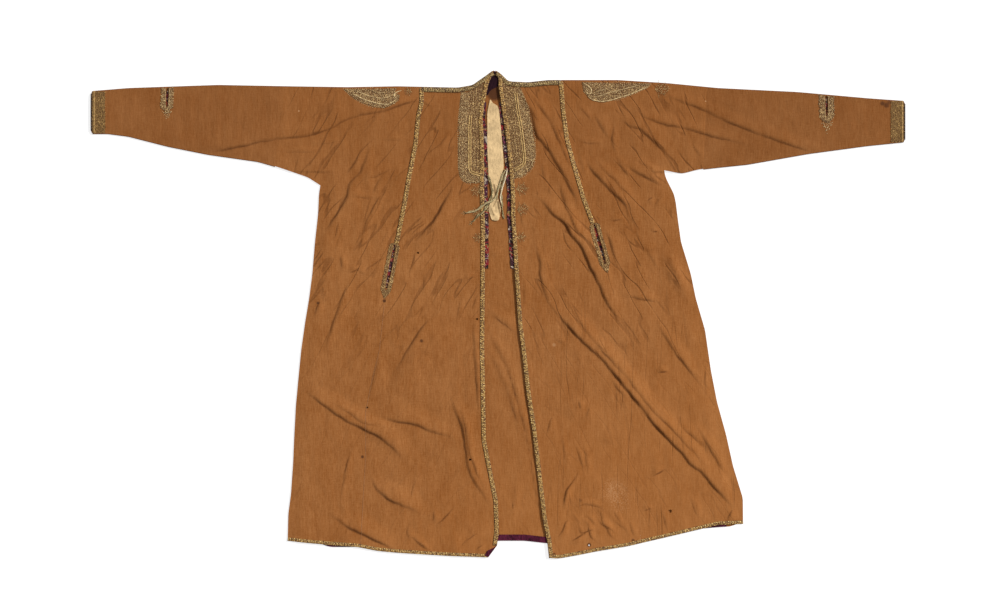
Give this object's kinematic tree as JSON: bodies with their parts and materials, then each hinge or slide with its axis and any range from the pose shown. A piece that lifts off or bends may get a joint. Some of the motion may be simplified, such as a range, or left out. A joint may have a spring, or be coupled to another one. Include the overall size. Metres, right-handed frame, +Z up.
{
  "type": "abaya coat",
  "caption": "Brown cotton open-front abaya laid flat, with gold braid, couched neck panels, striped silk facings and loose neck ties.",
  "frame": {"origin": "middle of the flat coat's outline, on the surface it lies on", "axes": "+X towards the wearer's left cuff, +Y towards the neck, +Z up from the surface"},
  "size_m": [1.832, 1.094, 0.013],
  "materials": {
    "cotton": "matte",
    "braid": "satin",
    "couching": "satin",
    "cream": "matte",
    "purple": "satin",
    "stripe": "satin",
    "cord": "satin"
  },
  "bodies": {
    "root": {"back_panel": "cotton", "side_panel_right": "cotton", "front_panel_right": "cotton", "sleeve_right": "cotton", "gusset_right": "cotton", "side_panel_left": "cotton", "front_panel_left": "cotton", "sleeve_left": "cotton", "gusset_left": "cotton", "neck_lining": "cream", "collar_lining": "purple", "back_hem_facing": "purple", "front_facing_right": "stripe", "pocket_facing_right": "stripe", "wrist_facing_right": "stripe", "front_facing_left": "stripe", "pocket_facing_left": "stripe", "wrist_facing_left": "stripe", "front_braid_right": "braid", "seam_braid_right": "braid", "shoulder_braid_right": "braid", "hem_braid_right": "braid", "cuff_band_right": "braid", "plastron_right": "couching", "boteh_right": "couching", "pocket_border_right": "couching", "wrist_border_right": "couching", "front_braid_left": "braid", "seam_braid_left": "braid", "shoulder_braid_left": "braid", "hem_braid_left": "braid", "cuff_band_left": "braid", "plastron_left": "couching", "boteh_left": "couching", "pocket_border_left": "couching", "wrist_border_left": "couching", "tie_cord_right": "cord", "tie_cord_left": "cord", "tie_cord_loose": "cord"}
  },
  "joints": []
}
